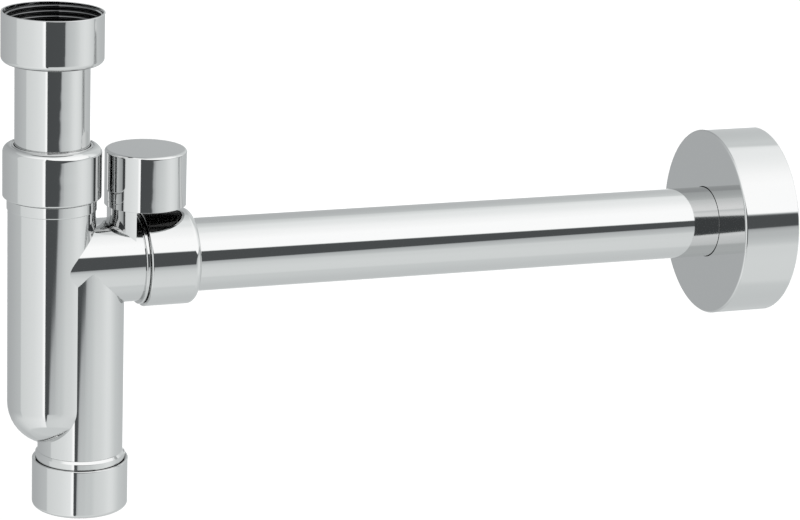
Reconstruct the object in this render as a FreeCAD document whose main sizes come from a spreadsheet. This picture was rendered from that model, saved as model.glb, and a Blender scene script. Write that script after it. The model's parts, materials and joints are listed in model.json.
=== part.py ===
import FreeCAD, Part

import math
import os
import re

import Sketcher

# A chromed tubular basin trap. The origin is the centre of the inlet nut's mouth, +Z is up along the
# inlet's axis and +X runs along the outlet pipe to the wall. All sizes are in millimetres.

# Driving sizes: each row is a cell's alias, its value and what it measures
SIZES = [
    ("tube_radius", 16.0, "outside radius of the inlet tube and of the outlet pipe"),
    ("tube_wall", 1.0, "wall of the inlet tube and of the outlet pipe"),
    ("body_wall", 1.0, "wall of the leg, riser and branch tubes"),
    ("slide_gap", 0.3, "clearance of nuts, washers and ferrules around a sliding tube"),
    ("seal_gap", 0.05, "running clearance of a rubber lip on a tube"),
    ("face_gap", 0.05, "clearance between stacked faces of loose pieces"),
    ("ferrule_wall", 1.0, "wall of a ferrule between its seat's mouth and its thread"),
    ("thread_gap", 0.15, "clearance between a ferrule's thread and its nut"),

    ("inlet_thread_step", 4.955, "how far the inlet nut's G 1 1/4 thread stands out from the tube"),
    ("inlet_thread_depth", 14.0, "depth of the thread below the mouth"),
    ("inlet_nut_wall", 0.895, "wall of the inlet nut around its thread"),
    ("inlet_recess_step", 0.655, "how much narrower the plain recess below the thread is"),
    ("inlet_floor", 3.0, "thickness of the inlet nut's floor"),
    ("inlet_nut_round", 2.6, "rounding of the inlet nut's lower edge"),
    ("inlet_rim_round", 0.3, "rounding of the inlet nut's mouth"),
    ("tube_rim_gap", 0.5, "clearance of the inlet tube's flared rim in that recess"),
    ("tube_rim_height", 1.5, "thickness of the flared rim on the inlet tube"),
    ("inlet_gasket_height", 2.8, "thickness of the inlet gasket"),
    ("inlet_gasket_gap", 0.2, "space between the gasket and the end of the thread"),
    ("inlet_tube_length", 108.0, "length of the inlet tube"),

    ("leg_nut_drop", 57.0, "outer end of the leg nut below the mouth"),
    ("nut_wall", 1.95, "wall of the two compression nuts around their threads"),
    ("nut_length", 22.6, "length of the two compression nuts"),
    ("nut_round", 3.4, "rounding of a compression nut's outer end"),
    ("nut_edge_round", 0.8, "rounding of a compression nut's inner end"),
    ("nut_cover", 3.0, "thickness of a compression nut's end wall"),
    ("lip_width", 0.9, "width of the raised lip around a nut's hole"),
    ("lip_groove", 0.5, "depth of the groove around that lip"),
    ("washer_height", 1.2, "thickness of a slip washer"),
    ("washer_gap", 0.35, "clearance of a slip washer and a seal in their nut"),
    ("seal_rim_height", 1.5, "thickness of a wedge seal's rim"),
    ("seal_cone_height", 2.5, "height of a wedge seal's cone"),
    ("seal_cone_gap", 0.2, "clearance between a wedge seal's cone and its seat"),
    ("seat_width", 1.6, "how far a ferrule's conical seat widens"),
    ("seat_depth", 3.5, "depth of a ferrule's conical seat"),
    ("collar_gap", 0.5, "space between a tightened nut and the collar behind it"),
    ("leg_collar_step", 0.3, "how far the collar under the leg nut stands out from the thread"),
    ("leg_collar_length", 4.9, "length of the collar under the leg nut"),
    ("branch_collar_step", 0.9, "how far the collar behind the outlet nut stands out from the thread"),
    ("branch_collar_length", 1.5, "length of the collar behind the outlet nut"),
    ("collar_round", 0.5, "rounding of a collar's edge towards its tube"),

    ("leg_gap", 1.8, "space between the inlet tube and the leg around it"),
    ("leg_below_branch", 61.6, "centre of the leg's hemispherical bottom below the branch's axis"),
    ("window_below_centre", 4.0, "top of the window between leg and riser, below that centre"),
    ("window_height", 13.0, "height of that window"),
    ("window_width", 22.0, "width of that window"),
    ("thread_stand", 0.4, "how far a ferrule's thread stands out from the riser and the branch"),
    ("riser_inset", 5.6, "how far the riser's axis lies inside the leg's outside"),
    ("branch_gap", 5.9, "space between the leg's collar and the branch"),

    ("cap_below_leg", 29.7, "underside of the cleaning cap below the leg's bottom"),
    ("cap_wall", 1.8, "wall of the cleaning cap around its thread"),
    ("cap_length", 21.8, "length of the cleaning cap"),
    ("cap_floor", 3.0, "thickness of the cleaning cap's floor"),
    ("cap_round", 2.0, "rounding of the cleaning cap's lower edge"),
    ("cap_edge_round", 0.5, "rounding of the cleaning cap's mouth"),
    ("cap_mouth_step", 0.85, "how much wider the counterbore at the cap's mouth is"),
    ("cap_mouth_depth", 2.0, "depth of that counterbore"),
    ("cap_seal_height", 2.5, "thickness of the cap's gasket"),
    ("cap_seal_width", 4.1, "width of the cap's gasket"),
    ("cap_seal_gap", 0.45, "clearance of the cap's gasket in the cap"),
    ("cleanout_lip_step", 0.5, "how far the lip above the cleaning cap stands out from the thread"),
    ("cleanout_lip_show", 2.6, "length of that lip that stands above the cap"),
    ("cleanout_flare", 1.3, "height of the flare from the riser to that lip"),

    ("outlet_nut_offset", 20.3, "outer end of the outlet nut beyond the vent's axis"),
    ("pipe_insert", 28.3, "length of the outlet pipe inside the outlet nut and the branch"),
    ("wall_reach", 336.3, "wall, and rear edge of the wall flange, from the inlet's axis"),
    ("pipe_into_wall", 8.7, "length of the outlet pipe behind the wall flange"),
    ("flange_radius", 42.45, "outside radius of the wall flange"),
    ("flange_depth", 27.0, "depth of the wall flange"),
    ("flange_wall", 1.2, "wall of the wall flange"),
    ("flange_round", 0.6, "rounding of the wall flange's front edge"),
    ("flange_neck_depth", 6.0, "depth of the neck behind the flange's hole"),
    ("ring_section", 2.0, "thickness of the rubber ring in that neck"),

    ("vent_gap", 2.35, "space between the leg nut and the hood"),
    ("boss_inset", 1.2, "how far the vent's boss stands in under the hood"),
    ("boss_margin", 3.5, "space between the boss's flat side and the branch's end"),
    ("boss_wall", 1.2, "wall of the vent's boss"),
    ("hood_radius", 17.65, "outside radius of the hood"),
    ("hood_length", 24.2, "height of the hood"),
    ("hood_gap", 3.4, "space between the outlet nut and the hood's lower edge"),
    ("hood_wall", 0.85, "side wall of the hood"),
    ("hood_roof", 1.2, "thickness of the hood's roof"),
    ("hood_round", 0.8, "rounding of the hood's upper edge"),
    ("dish_clearance", 0.5, "height of the dish's underside above the hood's lower edge"),
    ("dish_gap", 0.8, "space between the dish on the boss and the hood around it"),
    ("dish_wall", 1.5, "wall and floor of that dish"),
    ("dish_height", 7.5, "height of that dish"),
    ("rib_width", 1.5, "width of a rib in the hood"),
    ("rib_grip", 0.05, "clearance of the hood's ribs around the dish"),
    ("rib_rise", 4.0, "height of a rib above the dish's rim"),
    ("rib_step", 1.1, "width of the rib's ledge on the dish's rim"),
    ("rib_count", 6, "number of ribs in the hood"),
    ("seat_fit", 0.1, "clearance of the valve seat in the dish"),
    ("seat_ring_width", 1.2, "width of the valve's two seat rings"),
    ("seat_bore", 7.0, "radius of the valve's air passage"),
    ("seat_skirt", 3.5, "height of the valve seat's skirt"),
    ("seat_deck", 1.5, "thickness of the valve seat's deck"),
    ("seat_ring_height", 4.0, "height of the seat rings above the deck"),
    ("port_count", 8, "number of air ports in the outer seat ring"),
    ("port_width", 6.0, "width of an air port"),
    ("port_height", 2.0, "height of an air port"),
    ("port_margin", 0.6, "ring left above an air port"),
    ("hub_radius", 3.0, "radius of the stem guide"),
    ("hub_height", 3.5, "height of the stem guide"),
    ("spoke_width", 1.6, "width of a spoke that holds the stem guide"),
    ("spoke_count", 3, "number of spokes"),
    ("stem_radius", 1.5, "radius of the diaphragm's stem"),
    ("stem_gap", 0.1, "clearance of the stem in its guide"),
    ("stem_length", 6.5, "length of the stem under the diaphragm"),
    ("diaphragm_gap", 0.3, "how much smaller the diaphragm is than the dish's bore"),
    ("diaphragm_height", 1.4, "thickness of the diaphragm"),
]

PLACES = {"x": "Placement.Base.x", "y": "Placement.Base.y", "z": "Placement.Base.z"}
ALONG_X = FreeCAD.Rotation(FreeCAD.Vector(0, 1, 0), 90)
DOWNWARDS = FreeCAD.Rotation(FreeCAD.Vector(1, 0, 0), 180)
UPWARDS = FreeCAD.Rotation()

doc = FreeCAD.newDocument("basin_trap")
sheet = doc.addObject("Spreadsheet::Sheet", "sizes")
for row, (alias, value, meaning) in enumerate(SIZES, start=1):
    sheet.set(f"A{row}", meaning)
    sheet.set(f"B{row}", str(value))
    sheet.setAlias(f"B{row}", alias)
doc.recompute()


# Helpers

def on_sheet(formula):
    """A formula in cell names, written for the expression engine."""
    return re.sub(r"[a-z]+_[a-z_]+", lambda name: "sizes." + name.group(0), formula)


def number(formula):
    """The present value of a formula in cell names."""
    return float(sheet.evalExpression(on_sheet(formula)))


def bind(piece, **formulas):
    """Bind properties of a piece, or its place along x, y and z, to formulas in cell names."""
    for name, formula in formulas.items():
        piece.setExpression(PLACES.get(name, name), on_sheet(formula))
    return piece


def new_body(label, turn=UPWARDS, **place):
    body = doc.addObject("PartDesign::Body", label)
    body.Placement = FreeCAD.Placement(FreeCAD.Vector(), turn)
    return bind(body, **place)


def new_sketch(body, role, name):
    sketch = body.newObject("Sketcher::SketchObject", name)
    plane = [feature for feature in body.Origin.OriginFeatures if feature.Role == role][0]
    sketch.AttachmentSupport = (plane, [""])
    sketch.MapMode = "FlatFace"
    return sketch


def pin_point(sketch, edge, end, across, up):
    """Tie one end of a sketch edge to two formulas."""
    for kind, formula in (("DistanceX", across), ("DistanceY", up)):
        tie = sketch.addConstraint(Sketcher.Constraint(kind, -1, 1, edge, end, number(formula)))
        sketch.setExpression(f"Constraints[{tie}]", on_sheet(formula))


def corner_arc(start, end, centre):
    """The quarter circle from start to end, and whether it runs clockwise."""
    radius = (start - centre).Length
    first = math.atan2(start.y - centre.y, start.x - centre.x)
    last = math.atan2(end.y - centre.y, end.x - centre.x)
    clockwise = (start - centre).cross(end - centre).z < 0
    if clockwise:
        first, last = last, first
    circle = Part.Circle(centre, FreeCAD.Vector(0, 0, 1), radius)
    return Part.ArcOfCircle(circle, first, last), clockwise


def outline(sketch, corners):
    """Draw a closed outline through the corners, in order.

    A corner is (across, up). An arc to the next corner is ("arc", centre across, centre up) and
    stands between the two corners that it joins.
    """
    points = [corner for corner in corners if corner[0] != "arc"]
    spots = [FreeCAD.Vector(number(across), number(up), 0) for across, up in points]
    centres = {}
    count = 0
    for corner in corners:
        if corner[0] == "arc":
            centres[count - 1] = corner[1:]
        else:
            count += 1
    ends = []
    for index, start in enumerate(spots):
        end = spots[(index + 1) % len(spots)]
        if index in centres:
            across, up = centres[index]
            centre = FreeCAD.Vector(number(across), number(up), 0)
            arc, clockwise = corner_arc(start, end, centre)
            sketch.addGeometry(arc, False)
            ends.append((2, 1) if clockwise else (1, 2))
        else:
            sketch.addGeometry(Part.LineSegment(start, end), False)
            ends.append((1, 2))
    for index in range(len(spots)):
        after = (index + 1) % len(spots)
        sketch.addConstraint(Sketcher.Constraint("Coincident", index, ends[index][1], after, ends[after][0]))
    for index, (across, up) in enumerate(points):
        pin_point(sketch, index, ends[index][0], across, up)
    for index, (across, up) in centres.items():
        tie = sketch.addConstraint(Sketcher.Constraint("DistanceX", -1, 1, index, 3, number(across)))
        sketch.setExpression(f"Constraints[{tie}]", on_sheet(across))


def turned(label, corners, turn=UPWARDS, **place):
    """A piece turned about its own Z from an outline of (radius, height) corners."""
    body = new_body(label, turn, **place)
    sketch = new_sketch(body, "XZ_Plane", label + "_profile")
    outline(sketch, corners)
    revolution = body.newObject("PartDesign::Revolution", label + "_turned")
    revolution.Profile = sketch
    revolution.ReferenceAxis = (sketch, ["V_Axis"])
    revolution.Angle = 360
    doc.recompute()
    return body


def upper_round(radius, top, size):
    """Outline corners of a rounded outer edge, met from the inside of the top face."""
    return [(f"{radius} - {size}", top), ("arc", f"{radius} - {size}", f"{top} - {size}"),
            (radius, f"{top} - {size}")]


def lower_round(radius, bottom, size):
    """Outline corners of a rounded outer edge, met from above."""
    return [(radius, f"{bottom} + {size}"), ("arc", f"{radius} - {size}", f"{bottom} + {size}"),
            (f"{radius} - {size}", bottom)]


def ring(label, bore, radius, top, height, turn=UPWARDS, **place):
    """A flat ring whose top face is at the given height."""
    bottom = f"{top} - {height}"
    corners = [(bore, top), (radius, top), (radius, bottom), (bore, bottom)]
    return turned(label, corners, turn, **place)


def cylinder(label, radius, length, turn=UPWARDS, **place):
    piece = doc.addObject("Part::Cylinder", label)
    piece.Placement = FreeCAD.Placement(FreeCAD.Vector(), turn)
    return bind(piece, Radius=radius, Height=length, **place)


def block(label, length, width, height, **place):
    return bind(doc.addObject("Part::Box", label), Length=length, Width=width, Height=height, **place)


def combine(kind, label, base, tool):
    """A Part::Cut or Part::Common of two pieces."""
    piece = doc.addObject(kind, label)
    piece.Base = base
    piece.Tool = tool
    return piece


def fuse(label, pieces):
    piece = doc.addObject("Part::MultiFuse", label)
    piece.Shapes = pieces
    piece.Refine = True
    return piece


# Radii that pieces share

TUBE_BORE = "(tube_radius - tube_wall)"
TUBE_HOLE = "(tube_radius + slide_gap)"
THREAD_RADIUS = f"({TUBE_HOLE} + seat_width + ferrule_wall)"
NUT_THREAD = f"({THREAD_RADIUS} + thread_gap)"
NUT_RADIUS = f"({NUT_THREAD} + nut_wall)"
WASHER_RADIUS = f"({NUT_THREAD} - washer_gap)"
LEG_BORE = "(tube_radius + leg_gap)"
LEG_RADIUS = f"({LEG_BORE} + body_wall)"
RISER_RADIUS = f"({THREAD_RADIUS} - thread_stand)"
RISER_BORE = f"({RISER_RADIUS} - body_wall)"

# Heights in a compression joint, measured inwards from the nut's outer end

WASHER_TOP = "(0 - nut_cover - face_gap)"
SEAL_TOP = f"({WASHER_TOP} - washer_height - face_gap)"
SEAL_SHOULDER = f"({SEAL_TOP} - seal_rim_height)"
FERRULE_TOP = f"({SEAL_SHOULDER} - face_gap)"
COLLAR_TOP = "(0 - nut_length - collar_gap)"

# Heights in the trap, down from the mouth, and places along +X

LEG_TOP = f"({COLLAR_TOP} - leg_nut_drop - leg_collar_length)"
BRANCH_AXIS = f"({LEG_TOP} - branch_gap - {RISER_RADIUS})"
RISER_AXIS = f"({LEG_RADIUS} - riser_inset)"
LEG_CENTRE = f"({BRANCH_AXIS} - leg_below_branch)"
LEG_BOTTOM = f"({LEG_CENTRE} - {LEG_RADIUS})"
CAP_BOTTOM = f"({LEG_BOTTOM} - cap_below_leg)"
CAP_TOP = f"({CAP_BOTTOM} + cap_length)"
RISER_BOTTOM = f"({CAP_TOP} + cleanout_lip_show + cleanout_flare)"
VENT_AXIS = f"({NUT_RADIUS} + vent_gap + hood_radius)"
OUTLET_NUT_END = f"({VENT_AXIS} + outlet_nut_offset)"
BRANCH_END = f"({OUTLET_NUT_END} + {COLLAR_TOP} - branch_collar_length)"
FLANGE_FRONT = "(wall_reach - flange_depth)"


def compression_nut(label, turn, **place):
    crest = f"{NUT_RADIUS} - nut_round"
    lip = f"{TUBE_HOLE} + lip_width"
    corners = [
        (TUBE_HOLE, "0"),
        (lip, "0"),
        (lip, "0 - lip_groove"),
        (crest, "0 - lip_groove"),
        (crest, "0"),
        ("arc", crest, "0 - nut_round"),
        (NUT_RADIUS, "0 - nut_round"),
        *lower_round(NUT_RADIUS, "0 - nut_length", "nut_edge_round"),
        (NUT_THREAD, "0 - nut_length"),
        (NUT_THREAD, "0 - nut_cover"),
        (TUBE_HOLE, "0 - nut_cover"),
    ]
    return turned(label, corners, turn, **place)


def slip_washer(label, turn, **place):
    return ring(label, TUBE_HOLE, WASHER_RADIUS, WASHER_TOP, "washer_height", turn, **place)


def wedge_seal(label, turn, **place):
    bore = "tube_radius + seal_gap"
    tip = f"{SEAL_SHOULDER} - seal_cone_height"
    slope = "seat_width / seat_depth"
    cone_top = f"{TUBE_HOLE} + seat_width - seal_cone_gap"
    corners = [
        (bore, SEAL_TOP),
        (WASHER_RADIUS, SEAL_TOP),
        (WASHER_RADIUS, SEAL_SHOULDER),
        (cone_top, SEAL_SHOULDER),
        (f"{cone_top} - {slope} * seal_cone_height", tip),
        (bore, tip),
    ]
    return turned(label, corners, turn, **place)


def threaded_ferrule(label, collar_step, collar_length, turn, **place):
    """The male end that a compression nut screws onto, with its seat and its collar."""
    seat_top = f"{TUBE_HOLE} + seat_width"
    seat_bottom = f"{FERRULE_TOP} - seat_depth"
    end = f"{COLLAR_TOP} - {collar_length}"
    collar_radius = f"{THREAD_RADIUS} + {collar_step}"
    corners = [
        (seat_top, FERRULE_TOP),
        (THREAD_RADIUS, FERRULE_TOP),
        (THREAD_RADIUS, COLLAR_TOP),
        (collar_radius, COLLAR_TOP),
        *lower_round(collar_radius, end, "collar_round"),
        (TUBE_HOLE, end),
        (TUBE_HOLE, seat_bottom),
    ]
    return turned(label, corners, turn, **place)


# The inlet: nut, gasket and tube

RIM_TOP = "0 - inlet_thread_depth - inlet_gasket_gap - inlet_gasket_height"
RIM_BOTTOM = f"{RIM_TOP} - tube_rim_height"
INLET_THREAD = "(tube_radius + inlet_thread_step)"
RECESS_RADIUS = f"({INLET_THREAD} - inlet_recess_step)"
RIM_RADIUS = f"({RECESS_RADIUS} - tube_rim_gap)"


def inlet_nut():
    floor_top = f"{RIM_BOTTOM} - face_gap"
    bottom = f"{floor_top} - inlet_floor"
    outer = f"{INLET_THREAD} + inlet_nut_wall"
    corners = [
        (INLET_THREAD, "0"),
        *upper_round(outer, "0", "inlet_rim_round"),
        *lower_round(outer, bottom, "inlet_nut_round"),
        (TUBE_HOLE, bottom),
        (TUBE_HOLE, floor_top),
        (RECESS_RADIUS, floor_top),
        (RECESS_RADIUS, "0 - inlet_thread_depth"),
        (INLET_THREAD, "0 - inlet_thread_depth"),
    ]
    return turned("inlet_nut", corners)


def inlet_tube():
    bottom = f"{RIM_TOP} - inlet_tube_length"
    corners = [
        (TUBE_BORE, RIM_TOP),
        (RIM_RADIUS, RIM_TOP),
        (RIM_RADIUS, RIM_BOTTOM),
        ("tube_radius", RIM_BOTTOM),
        ("tube_radius", bottom),
        (TUBE_BORE, bottom),
    ]
    return turned("inlet_tube", corners)


def inlet_gasket():
    top = f"{RIM_TOP} + inlet_gasket_height"
    return ring("inlet_gasket", TUBE_BORE, RIM_RADIUS, top, "inlet_gasket_height")


# The body of the trap: leg, riser, branch and the ferrules brazed to them

def leg_tube():
    corners = [
        (LEG_BORE, LEG_TOP),
        (LEG_RADIUS, LEG_TOP),
        (LEG_RADIUS, LEG_CENTRE),
        ("arc", "0", LEG_CENTRE),
        ("0", LEG_BOTTOM),
        ("0", f"{LEG_BOTTOM} + body_wall"),
        ("arc", "0", LEG_CENTRE),
        (LEG_BORE, LEG_CENTRE),
    ]
    body = turned("leg_tube", corners)
    window = new_sketch(body, "YZ_Plane", "leg_window_profile")
    half = "window_width / 2"
    top = f"{LEG_CENTRE} - window_below_centre"
    bottom = f"{top} - window_height"
    outline(window, [(half, top), (f"0 - {half}", top), (f"0 - {half}", bottom), (half, bottom)])
    cut = body.newObject("PartDesign::Pocket", "leg_window")
    cut.Profile = window
    cut.Reversed = True
    bind(cut, Length=f"2 * {LEG_RADIUS}")
    doc.recompute()
    return body


def leg_solid(label):
    """The leg's outer form, which the riser and the branch are cut to."""
    shaft = cylinder(label + "_shaft", LEG_RADIUS, f"0 - {LEG_CENTRE}", z=LEG_CENTRE)
    bottom = bind(doc.addObject("Part::Sphere", label + "_bottom"), Radius=LEG_RADIUS, z=LEG_CENTRE)
    return fuse(label, [shaft, bottom])


def branch_solid(label, radius):
    return cylinder(label, radius, BRANCH_END, ALONG_X, z=BRANCH_AXIS)


def riser_tube():
    length = f"{BRANCH_AXIS} - {RISER_BOTTOM}"
    place = {"x": RISER_AXIS, "z": RISER_BOTTOM}
    outer = cylinder("riser_outer", RISER_RADIUS, length, **place)
    bore = cylinder("riser_bore", RISER_BORE, length, **place)
    wall = combine("Part::Cut", "riser_wall", outer, bore)
    beside_leg = combine("Part::Cut", "riser_beside_leg", wall, leg_solid("riser_leg_cut"))
    return combine("Part::Cut", "riser_tube", beside_leg, branch_solid("riser_saddle", RISER_RADIUS))


def vent_column(label, inset, bottom, top):
    """The upright of the vent's boss, a round column cut flat beside the outlet nut."""
    height = f"{top} - {bottom}"
    radius = f"({BOSS_RADIUS} - {inset})"
    start = f"({VENT_AXIS} - {radius})"
    column = cylinder(label + "_round", radius, height, x=VENT_AXIS, z=bottom)
    keep = block(label + "_flat", f"{BOSS_FLAT} - {inset} - {start}", f"2 * {radius}", height,
                 x=start, y=f"0 - {radius}", z=bottom)
    return combine("Part::Common", label, column, keep)


def branch_tube():
    outer = branch_solid("branch_outer", RISER_RADIUS)
    bore = branch_solid("branch_bore", RISER_BORE)
    wall = combine("Part::Cut", "branch_wall", outer, bore)
    beside_leg = combine("Part::Cut", "branch_beside_leg", wall, leg_solid("branch_leg_cut"))
    way_down = cylinder("branch_way_down", RISER_BORE, f"2 * {RISER_RADIUS}", x=RISER_AXIS,
                        z=f"{BRANCH_AXIS} - 2 * {RISER_RADIUS}")
    over_riser = combine("Part::Cut", "branch_over_riser", beside_leg, way_down)
    way_up = vent_column("branch_way_up", "boss_wall", BRANCH_AXIS, DISH_FLOOR)
    return combine("Part::Cut", "branch_tube", over_riser, way_up)


def cleanout_ferrule():
    end = "0 - cap_floor - cap_seal_height - face_gap"
    mouth = "0 - cap_length"
    shoulder = f"{mouth} + cap_mouth_depth - collar_gap"
    lip = f"{THREAD_RADIUS} + cleanout_lip_step"
    lip_top = f"{mouth} - cleanout_lip_show"
    top = f"{lip_top} - cleanout_flare"
    corners = [
        (RISER_BORE, end),
        (THREAD_RADIUS, end),
        (THREAD_RADIUS, shoulder),
        (lip, shoulder),
        (lip, lip_top),
        (RISER_RADIUS, top),
        (RISER_BORE, top),
    ]
    return turned("cleanout_ferrule", corners, DOWNWARDS, x=RISER_AXIS, z=CAP_BOTTOM)


def cleaning_cap():
    mouth = "0 - cap_length"
    outer = f"{NUT_THREAD} + cap_wall"
    counterbore = f"{NUT_THREAD} + cap_mouth_step"
    corners = [
        ("0", "0"),
        *upper_round(outer, "0", "cap_round"),
        *lower_round(outer, mouth, "cap_edge_round"),
        (counterbore, mouth),
        (counterbore, f"{mouth} + cap_mouth_depth"),
        (NUT_THREAD, f"{mouth} + cap_mouth_depth"),
        (NUT_THREAD, "0 - cap_floor"),
        ("0", "0 - cap_floor"),
    ]
    return turned("cleaning_cap", corners, DOWNWARDS, x=RISER_AXIS, z=CAP_BOTTOM)


def cap_seal():
    outer = f"{NUT_THREAD} - cap_seal_gap"
    bore = f"{outer} - cap_seal_width"
    return ring("cap_seal", bore, outer, "0 - cap_floor", "cap_seal_height", DOWNWARDS, x=RISER_AXIS, z=CAP_BOTTOM)


# The outlet: pipe and wall flange

def outlet_pipe():
    start = f"{OUTLET_NUT_END} - pipe_insert"
    end = "wall_reach + pipe_into_wall"
    corners = [("tube_radius", start), ("tube_radius", end), (TUBE_BORE, end), (TUBE_BORE, start)]
    return turned("outlet_pipe", corners, ALONG_X, z=BRANCH_AXIS)


FLANGE_NECK = "tube_radius + seal_gap + ring_section + seal_gap"


def wall_flange():
    """A deep cup, open towards the wall, whose hole has a neck for the rubber ring."""
    inner = "flange_radius - flange_wall"
    neck_outer = f"{FLANGE_NECK} + flange_wall"
    corners = [
        (TUBE_HOLE, "flange_wall"),
        (TUBE_HOLE, "0"),
        ("flange_radius - flange_round", "0"),
        ("arc", "flange_radius - flange_round", "flange_round"),
        ("flange_radius", "flange_round"),
        ("flange_radius", "flange_depth"),
        (inner, "flange_depth"),
        (inner, "flange_wall"),
        (neck_outer, "flange_wall"),
        (neck_outer, "flange_neck_depth"),
        (FLANGE_NECK, "flange_neck_depth"),
        (FLANGE_NECK, "flange_wall"),
    ]
    return turned("wall_flange", corners, ALONG_X, x=FLANGE_FRONT, z=BRANCH_AXIS)


def flange_ring():
    ring_piece = doc.addObject("Part::Torus", "flange_ring")
    ring_piece.Placement = FreeCAD.Placement(FreeCAD.Vector(), ALONG_X)
    middle = "tube_radius + seal_gap + ring_section / 2"
    return bind(ring_piece, Radius1=middle, Radius2="ring_section / 2", z=BRANCH_AXIS,
                x=f"{FLANGE_FRONT} + flange_wall + face_gap + ring_section / 2")


# The vent: boss, dish, valve seat, diaphragm and hood

HOOD_BOTTOM = f"({BRANCH_AXIS} + {NUT_RADIUS} + hood_gap)"
HOOD_BORE = "(hood_radius - hood_wall)"
DISH_BOTTOM = f"({HOOD_BOTTOM} + dish_clearance)"
DISH_FLOOR = f"({DISH_BOTTOM} + dish_wall)"
DISH_RADIUS = f"({HOOD_BORE} - dish_gap)"
DISH_BORE = f"({DISH_RADIUS} - dish_wall)"
SEAT_TOP = "(seat_skirt + seat_deck + seat_ring_height)"
BOSS_RADIUS = "(hood_radius - boss_inset)"
BOSS_FLAT = f"({BRANCH_END} - boss_margin)"


def vent_boss():
    """The upright brazed to the branch, which carries the dish and leads its air down."""
    column = vent_column("boss_column", "0", BRANCH_AXIS, DISH_BOTTOM)
    passage = vent_column("boss_passage", "boss_wall", BRANCH_AXIS, DISH_FLOOR)
    room = fuse("boss_room", [passage, branch_solid("boss_saddle", RISER_RADIUS)])
    return combine("Part::Cut", "vent_boss", column, room)


def vent_dish():
    """The round dish on the upright, which reaches over the outlet nut and opens into the upright."""
    outer = cylinder("dish_outer", DISH_RADIUS, "dish_height", x=VENT_AXIS, z=DISH_BOTTOM)
    hollow = cylinder("dish_hollow", DISH_BORE, "dish_height", x=VENT_AXIS, z=DISH_FLOOR)
    passage = vent_column("dish_passage", "boss_wall", BRANCH_AXIS, DISH_FLOOR)
    return combine("Part::Cut", "vent_dish", outer, fuse("dish_room", [hollow, passage]))


def polar(body, feature, name, formula):
    """Repeat a feature around the body's own Z."""
    pattern = body.newObject("PartDesign::PolarPattern", name)
    pattern.Originals = [feature]
    axis = [item for item in body.Origin.OriginFeatures if item.Role == "Z_Axis"][0]
    pattern.Axis = (axis, [""])
    pattern.Angle = 360
    bind(pattern, Occurrences=formula)
    body.Tip = pattern
    doc.recompute()


def centred_pad(body, sketch, name, width):
    """A pad of the given width, half of it on each side of its sketch."""
    pad = body.newObject("PartDesign::Pad", name)
    pad.Profile = sketch
    pad.Midplane = True
    bind(pad, Length=width)
    doc.recompute()
    return pad


def vent_seat():
    """The moulded insert: a skirt, a deck with two seat rings, air ports and a stem guide on spokes."""
    outer = f"{DISH_BORE} - seat_fit"
    ring_bore = f"{outer} - seat_ring_width"
    deck_top = "seat_skirt + seat_deck"
    inner_ring = "seat_bore + seat_ring_width"
    corners = [
        (ring_bore, "0"),
        (outer, "0"),
        (outer, SEAT_TOP),
        (ring_bore, SEAT_TOP),
        (ring_bore, deck_top),
        (inner_ring, deck_top),
        (inner_ring, SEAT_TOP),
        ("seat_bore", SEAT_TOP),
        ("seat_bore", "seat_skirt"),
        (ring_bore, "seat_skirt"),
    ]
    body = turned("vent_seat", corners, x=VENT_AXIS, z=DISH_FLOOR)

    guide = new_sketch(body, "XZ_Plane", "guide_profile")
    guide_bore = "stem_radius + stem_gap"
    guide_top = "seat_skirt + hub_height"
    outline(guide, [(guide_bore, "seat_skirt"), ("hub_radius", "seat_skirt"),
                    ("hub_radius", guide_top), (guide_bore, guide_top)])
    hub = body.newObject("PartDesign::Revolution", "guide_hub")
    hub.Profile = guide
    hub.ReferenceAxis = (guide, ["V_Axis"])
    hub.Angle = 360

    spoke = new_sketch(body, "XZ_Plane", "spoke_profile")
    inside_hub = f"(hub_radius + {guide_bore}) / 2"
    inside_ring = "seat_bore + seat_ring_width / 2"
    outline(spoke, [(inside_hub, "seat_skirt"), (inside_ring, "seat_skirt"),
                    (inside_ring, deck_top), (inside_hub, deck_top)])
    spoke_pad = centred_pad(body, spoke, "spoke", "spoke_width")
    polar(body, spoke_pad, "spokes", "spoke_count")

    port = new_sketch(body, "YZ_Plane", "port_profile")
    between_rings = f"({inner_ring} + {ring_bore}) / 2"
    port.setExpression("AttachmentOffset.Base.z", on_sheet(between_rings))
    port_top = f"{SEAT_TOP} - port_margin"
    port_bottom = f"{port_top} - port_height"
    half = "port_width / 2"
    outline(port, [(half, port_top), (f"0 - {half}", port_top), (f"0 - {half}", port_bottom),
                   (half, port_bottom)])
    cut = body.newObject("PartDesign::Pocket", "port")
    cut.Profile = port
    cut.Reversed = True
    bind(cut, Length=DISH_RADIUS)
    polar(body, cut, "ports", "port_count")
    return body


def vent_diaphragm():
    stem_bottom = "0 - stem_length"
    radius = f"{DISH_BORE} - diaphragm_gap"
    corners = [
        ("0", "diaphragm_height"),
        (radius, "diaphragm_height"),
        (radius, "0"),
        ("stem_radius", "0"),
        ("stem_radius", stem_bottom),
        ("0", stem_bottom),
    ]
    return turned("vent_diaphragm", corners, x=VENT_AXIS, z=f"{DISH_FLOOR} + {SEAT_TOP} + face_gap")


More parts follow.
